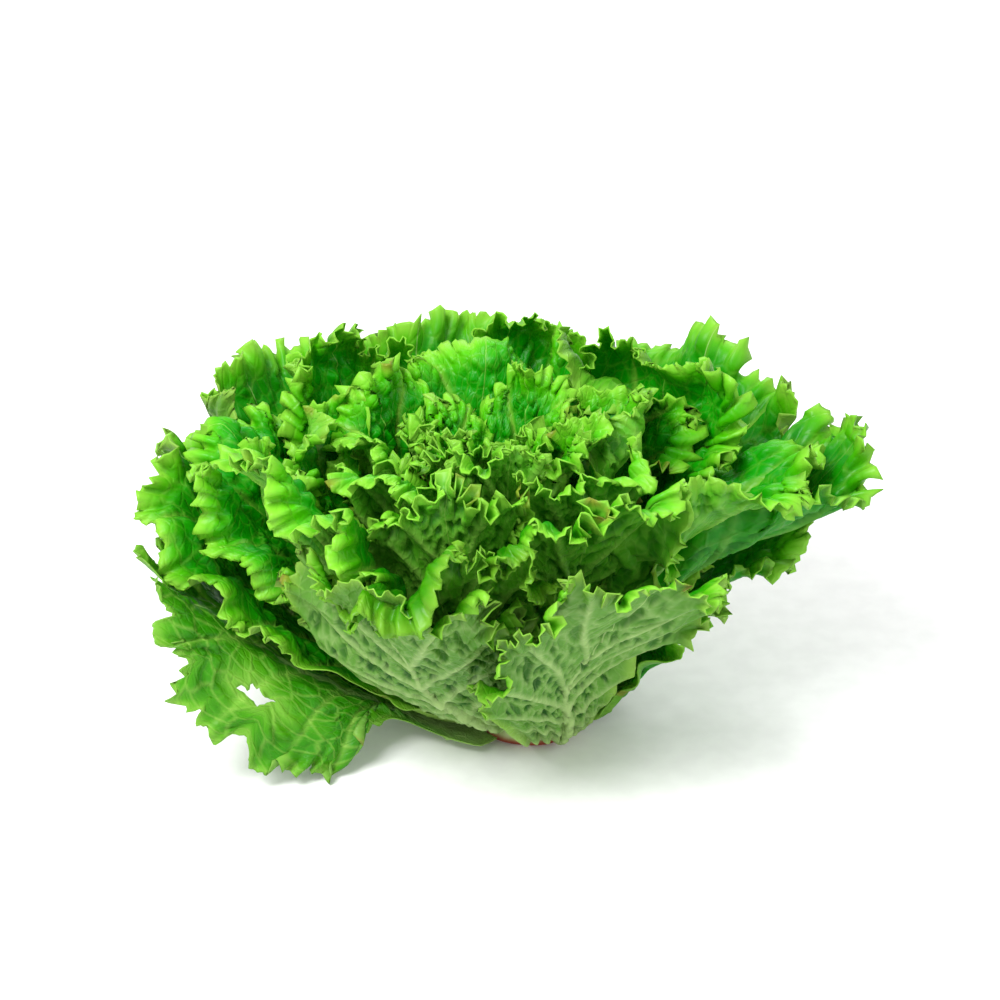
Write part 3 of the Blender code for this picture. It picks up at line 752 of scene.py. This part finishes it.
def add_leaf(name, finish, sheet):
    """One leaf as a closed shell: two faces and a rim."""
    points, thickness, skips, carried = sheet
    number, faces = sheet_faces(points, skips)
    _, picked = np.unique(number[number >= 0], return_index=True)
    places = np.flatnonzero(number.ravel() >= 0)[picked]
    middle = points.reshape(-1, 3)[places]
    thick = (thickness + 0 * points[..., 0]).ravel()[places]
    gone = carried.pop("gone").ravel()[places] > 0
    faces = faces[~gone[faces].all(axis=1)]
    used, faces = np.unique(faces, return_inverse=True)
    faces = faces.reshape(-1, 3)
    middle, thick, places = middle[used], thick[used], places[used]
    corners = middle[faces]
    turned = np.cross(corners[:, 1] - corners[:, 0], corners[:, 2] - corners[:, 0])
    normals = np.zeros_like(middle)
    for corner in range(3):
        np.add.at(normals, faces[:, corner], turned)
    normals = unit(normals)
    count = len(middle)
    # the blade's own half lies inside the rib's, which stands out of the underside alone
    under = middle + normals * (thick - BLADE / 2)[:, None]
    under[:, 2] = np.maximum(under[:, 2], FLOOR_CLEAR)
    upper = middle - normals * (BLADE / 2)
    edges = faces[:, [0, 1, 1, 2, 2, 0]].reshape(-1, 2)
    open_edges = edges[~np.isin(edges[:, 0] * count + edges[:, 1], edges[:, 1] * count + edges[:, 0])]
    b, a = open_edges.T
    faces = np.concatenate(
        [
            faces,
            faces[:, ::-1] + count,
            np.stack([a, b, b + count], axis=-1),
            np.stack([a, b + count, a + count], axis=-1),
        ]
    )
    values = {"side": np.concatenate([np.ones(count), np.zeros(count)])}
    for key, field in carried.items():
        field = field.reshape(-1, field.shape[-1])[places] if field.ndim == 3 else field.ravel()[places]
        values[key] = np.concatenate([field, field])
    return add_piece(name + "_blade", name, np.concatenate([under, upper]), faces, finish, values)


# Spots and meshes of veins to the metre in a leaf's colour
BROAD_SPOTS, FINE_SPOTS, WIDE_NET, FINE_NET = 42.0, 380.0, 98.0, 230.0
UPPER_BAND = (0.001, 0.019)  # distance from the margin over which the upper face goes from light to deep: the darker deep green is partly its own colour and partly painted shade of the hollows between the frills
LIGHT_MARGIN, LIGHT_SHARE = 0.0090, 0.40  # width of the lighter margin, and how light it is
WORN_SHARE = 0.6  # how brown the few worn places of the margin are
SEEN_THROUGH = 0.33  # share of the light that comes through the blade
BUMP_STRENGTH, BUMP_DEPTH = 0.7, 0.0007


def leaf_finish(name, upper, deep, margin, under, hollow, base, shine, lace, rib=0.0038):
    """A living leaf: saturated above, pale and dull below, with pale veins and a light, thin margin. rib is
    half the width of its midrib's colour, and lace how strong the wide net of its veins is above. deep is the
    darker green of the upper face away from the margin, and hollow that of the puckers below: both are partly
    the leaf's own colour and partly painted shade."""
    material, paint, shader, output = new_finish(name)
    flat = paint.given("flat", "Vector")
    names = ("edge", "share", "side", "vein", "ridge", "dimple")
    edge, share, side, vein, ridge, dimple = (paint.given(name) for name in names)
    broad = paint.noise(flat, BROAD_SPOTS, 1.0)
    fine = paint.noise(flat, FINE_SPOTS, 2.0)
    net = 1 - paint.cells(flat, FINE_NET).rises(0.0, 0.16)
    wide_net = 1 - (paint.cells(flat, WIDE_NET) + 0.05 * (fine - 0.5)).rises(0.0, 0.11)
    stem = 1 - paint.given("rib").rises(0.42 * rib, 1.58 * rib)
    # painted shade, partly the leaf's own colour: the upper face turns a darker, deeper green away from the
    # margin
    face = (edge + 0.014 * (broad - 0.5)).rises(*UPPER_BAND).blend(upper, deep)
    face = (0.45 * vein + lace * wide_net + 0.06 * net).blend(face, margin)
    face = share.rises(0.08, 0.40).blend(base, face)
    back = (share + 0.3 * (broad - 0.5)).rises(0.06, 0.44).blend(base, under)
    # painted shade in the puckers of the underside, partly their own darker colour: they take the hollow
    # colour
    dimple_tone_and_shade = dimple.rises(0.10, 0.56) * (1 - 0.45 * share.rises(0.60, 0.85)) * share.rises(0.10, 0.30)
    back = (dimple_tone_and_shade * (0.76 + 0.40 * broad)).blend(back, hollow)
    back = (0.7 * vein + 0.40 * ridge + 0.10 * net).blend(back, base)
    body = side.rises(0.3, 0.7).blend(face, back)
    body = (stem * (0.6 + 0.15 * side)).blend(body, base)
    light = 1 - (edge + 0.005 * (broad - 0.5)).rises(0.0, LIGHT_MARGIN)
    body = (light * LIGHT_SHARE).blend(body, margin)
    body = (light * broad.rises(0.70, 0.78) * WORN_SHARE).blend(body, colour(150, 96, 40))
    paint.tree.links.new(body.output, shader.inputs["Base Color"])
    shader.inputs["Roughness"].default_value = shine
    shader.inputs["Specular IOR Level"].default_value = 0.26
    height = 0.3 * net * (side * 2 - 1) + 0.6 * fine + 1.2 * lace * wide_net
    bump = paint.node(
        "Bump", (), {"Strength": BUMP_STRENGTH, "Distance": BUMP_DEPTH, "Height": height}, output="Normal"
    )
    paint.tree.links.new(bump.output, shader.inputs["Normal"])
    through = paint.node("BsdfTranslucent", (), {"Color": body, "Normal": bump})
    surface = Paint(paint.tree, shader.outputs[0])
    mixed = paint.node("MixShader", (), {0: SEEN_THROUGH, 1: surface, 2: through})
    paint.tree.links.new(mixed.output, output.inputs["Surface"])
    return material


leaves = all_leaves()
seeds = {name: index for index, name in enumerate(leaves)}
outer_finish = leaf_finish(
    "outer_leaf_finish",
    upper=colour(100, 200, 8),
    deep=colour(24, 152, 0),
    margin=colour(184, 226, 92),
    under=colour(98, 158, 50),
    hollow=colour(28, 98, 6),
    base=colour(178, 209, 130),
    shine=0.42,
    lace=0.10,
)
# painted shade: a darker copy of the outer leaves' colours, for the right leaf and the low one beside it, on
# the side away from the key lamp
shaded_right_finish = leaf_finish(
    "shaded_right_leaf_finish",
    upper=colour(92, 194, 6),
    deep=colour(20, 146, 0),
    margin=colour(178, 222, 88),
    under=colour(28, 148, 0),
    hollow=colour(10, 92, 0),
    base=colour(108, 172, 60),
    shine=0.36,
    lace=0.10,
)
low_finish = leaf_finish(
    "low_leaf_finish",
    upper=colour(86, 170, 10),
    deep=colour(50, 140, 2),
    margin=colour(160, 206, 88),
    under=colour(102, 164, 56),
    hollow=colour(30, 100, 8),
    base=colour(178, 210, 132),
    shine=0.45,
    lace=0.32,
    rib=0.0080,
)
finishes = {"low_leaf": low_finish, "right_leaf": shaded_right_finish, "right_low_leaf": shaded_right_finish}
shape = (OUTER_COLUMNS, FINE_ROWS, OUTER_DENSE, OUTER_FRILLS, OUTER_ROLL, OUTER_PUCKERS)
for name in OUTER_LEAVES:
    sheet = leaf_sheet(name, leaves, seeds[name], *shape)
    add_leaf(name, finishes.get(name, outer_finish), sheet)

# The second whorl.
# Eight leaves just inside the outer ones, of which the deep folded margins show. They are thinner and
# greener; the one that folds over the front is given darker colours, as painted shade.

SECOND_COLUMNS, SECOND_DENSE = 448, 0.6
SECOND_ROWS = ((0.45, 8, 4), (0.80, 11, 2), (1.0, 9, 1))
SECOND_FRILLS = ((0.0122, 0.0060, 0.15, 0.025), (0.0064, 0.0034, 0.11, 0.013), (0.0040, 0.0015, 0.06, 0.006))
SECOND_ROLL = (0.017, 1.0, 1.4)
SECOND_PUCKERS = ((0.0068, 0.0088), 0.0034, 0.011)

second_finish = leaf_finish(
    "second_leaf_finish",
    upper=colour(98, 208, 4),
    deep=colour(16, 162, 0),
    margin=colour(186, 230, 90),
    under=colour(92, 180, 34),
    hollow=colour(12, 122, 0),
    base=colour(156, 212, 88),
    shine=0.38,
    lace=0.08,
)
# painted shade: a darker copy of the second leaves' colours, for the fold over the front, which catches the
# key lamp
shaded_fold_finish = leaf_finish(
    "shaded_fold_leaf_finish",
    upper=colour(76, 160, 2),
    deep=colour(36, 136, 0),
    margin=colour(160, 208, 70),
    under=colour(88, 172, 30),
    hollow=colour(12, 116, 0),
    base=colour(150, 206, 84),
    shine=0.36,
    lace=0.05,
)
shape = (SECOND_COLUMNS, SECOND_ROWS, SECOND_DENSE, SECOND_FRILLS, SECOND_ROLL, SECOND_PUCKERS)
for name in SECOND_LEAVES:
    finish = shaded_fold_finish if name == "second_leaf_2" else second_finish
    add_leaf(name, finish, leaf_sheet(name, leaves, seeds[name], *shape))

# The inner leaves.
# Seventeen younger leaves that fill the crown, each a golden angle on from the last. They are small, bright
# and tightly frilled.

INNER_COLUMNS, INNER_DENSE = 288, 0.55
INNER_ROWS = ((0.45, 6, 4), (0.80, 11, 2), (1.0, 9, 1))
INNER_FRILLS = ((0.0100, 0.0057, 0.15, 0.022), (0.0058, 0.0026, 0.12, 0.010), (0.0040, 0.0011, 0.07, 0.005))
INNER_ROLL = (0.015, 1.1, 1.4)
INNER_PUCKERS = ((0.0062, 0.0078), 0.0034, 0.010)

shape = (INNER_COLUMNS, INNER_ROWS, INNER_DENSE, INNER_FRILLS, INNER_ROLL, INNER_PUCKERS)
for name in leaves:
    if name.startswith("inner"):
        add_leaf(name, second_finish, leaf_sheet(name, leaves, seeds[name], *shape))

# The heart.
# The last small leaves, curled round one another into a bud on the tip of the stem.

HEART_RADIUS, HEART_FOOT = 0.0052, 0.55
HEART_BOTTOM, HEART_TOP = 0.0560, 0.1240
HEART_FOLDS, HEART_FOLD_DEPTH, HEART_TWIST = 5, 0.22, 2.5  # folds round its tip, their depth, and their turn
HEART_CRIMPS, HEART_CRIMP_DEPTH, HEART_CRIMP_TWIST = 23, 0.10, 9  # the same for the crimps at its tip
HEART_DIP = 0.004  # how far its tip is sunk in
HEART_OUTLINE = 0.75 * math.pi  # how far along a sine its outline runs
HEART_EDGE, HEART_RIB = 0.03, 0.02  # how far its bottom counts as from a margin, and all of it as from a rib
HEART_SIDES, HEART_RINGS = 160, 60


def add_heart():
    """A folded bud, closed at both ends."""
    share = np.linspace(0, 1, HEART_RINGS)[:, None]
    turn = np.linspace(0, 2 * math.pi, HEART_SIDES, endpoint=False)[None, :]
    radius = HEART_RADIUS * (HEART_FOOT + (1 - HEART_FOOT) * np.sin(HEART_OUTLINE * share))
    fold = 1 + HEART_FOLD_DEPTH * share * np.sin(HEART_FOLDS * turn + HEART_TWIST * share)
    crimp = 1 + HEART_CRIMP_DEPTH * share**3 * np.sin(HEART_CRIMPS * turn + HEART_CRIMP_TWIST * share)
    radius = radius * fold * crimp
    height = HEART_BOTTOM + (HEART_TOP - HEART_BOTTOM) * share + 0 * turn
    points = np.stack([radius * np.cos(turn), radius * np.sin(turn), height], axis=-1)
    ends = [points[:1] * (0, 0, 1), points, points[-1:] * (0, 0, 1) - (0, 0, HEART_DIP)]
    points = np.concatenate(ends)
    faces = turned_faces(len(points), HEART_SIDES)
    flat = points.reshape(-1, 3)
    full = (np.concatenate([[0], share[:, 0], [1]])[:, None] + 0 * points[..., 0]).ravel()
    none = np.zeros(len(flat))
    carried = {
        "edge": (1 - full) * HEART_EDGE,
        "share": full,
        "rib": none + HEART_RIB,
        "vein": none,
        "ridge": none,
        "dimple": none,
        "side": none + 1,
        "flat": flat,
    }
    return add_piece("heart_bud", "heart", settle(flat), faces, second_finish, carried)


add_heart()

# The studio.
# A plain pale floor, light from all round, a large soft lamp above the camera's left with two weaker ones,
# and the camera at the photograph's angle.

FLOOR_SIZE = 6.0
FLOOR_DROP = 0.0002  # how far the floor lies below the cut face, so that the two don't flicker
FLOOR_GRAIN = 90.0  # grains of the card to the metre
LAMP_TARGET = (0, 0, 0.08)
ALL_ROUND_LIGHT = 0.75
VIEW_ELEVATION = 28
VIEW_DISTANCE = 1.25
VIEW_TARGET = (-0.0122, 0.0, 0.1068)
VIEW_SPAN = 1 / 2.45  # metres across the picture at the target


def add_floor():
    """A pale sheet of card."""
    material, paint, shader, _ = new_finish("pale_card")
    place = paint.node("TexCoord", output="Object")
    grain = paint.noise(place, FLOOR_GRAIN, 3.0)
    tone = grain.rises(0.2, 0.8).blend(colour(240, 240, 240), colour(246, 246, 246))
    paint.tree.links.new(tone.output, shader.inputs["Base Color"])
    shader.inputs["Roughness"].default_value = 0.8
    half = FLOOR_SIZE / 2
    mesh = bpy.data.meshes.new("floor")
    corners = [(-half, -half, -FLOOR_DROP), (half, -half, -FLOOR_DROP), (half, half, -FLOOR_DROP)]
    mesh.from_pydata([*corners, (-half, half, -FLOOR_DROP)], [], [(0, 1, 2, 3)])
    mesh.materials.append(material)
    floor = bpy.data.objects.new("floor", mesh)
    bpy.context.scene.collection.objects.link(floor)


def add_lamp(name, place, size, power):
    """A square soft lamp that faces the head."""
    light = bpy.data.lights.new(name, "AREA")
    light.shape = "SQUARE"
    light.size = size
    light.energy = power
    lamp = bpy.data.objects.new(name, light)
    lamp.location = place
    lamp.rotation_euler = (Vector(LAMP_TARGET) - Vector(place)).to_track_quat("-Z", "Y").to_euler()
    bpy.context.scene.collection.objects.link(lamp)


def add_camera():
    """The camera, at the photograph's viewing angle."""
    camera = bpy.data.cameras.new("camera")
    camera.sensor_width = 36
    camera.lens = camera.sensor_width * VIEW_DISTANCE / VIEW_SPAN
    holder = bpy.data.objects.new("camera", camera)
    tilt = math.radians(VIEW_ELEVATION)
    back = Vector((0, -math.cos(tilt), math.sin(tilt)))
    holder.location = Vector(VIEW_TARGET) + back * VIEW_DISTANCE
    holder.rotation_euler = (-back).to_track_quat("-Z", "Y").to_euler()
    bpy.context.scene.collection.objects.link(holder)
    bpy.context.scene.camera = holder


add_floor()
add_lamp("key", place=(-0.55, -0.55, 1.10), size=0.6, power=21.2)
add_lamp("fill", place=(0.80, -0.70, 0.60), size=0.9, power=4.0)
add_lamp("back", place=(0.20, 0.90, 0.90), size=0.7, power=6.0)
world = bpy.data.worlds.new("studio")
bpy.context.scene.world = world
world.use_nodes = True
world.node_tree.nodes["Background"].inputs["Color"].default_value = (1, 1, 1, 1)
world.node_tree.nodes["Background"].inputs["Strength"].default_value = ALL_ROUND_LIGHT
bpy.context.scene.view_settings.view_transform = "Standard"
add_camera()
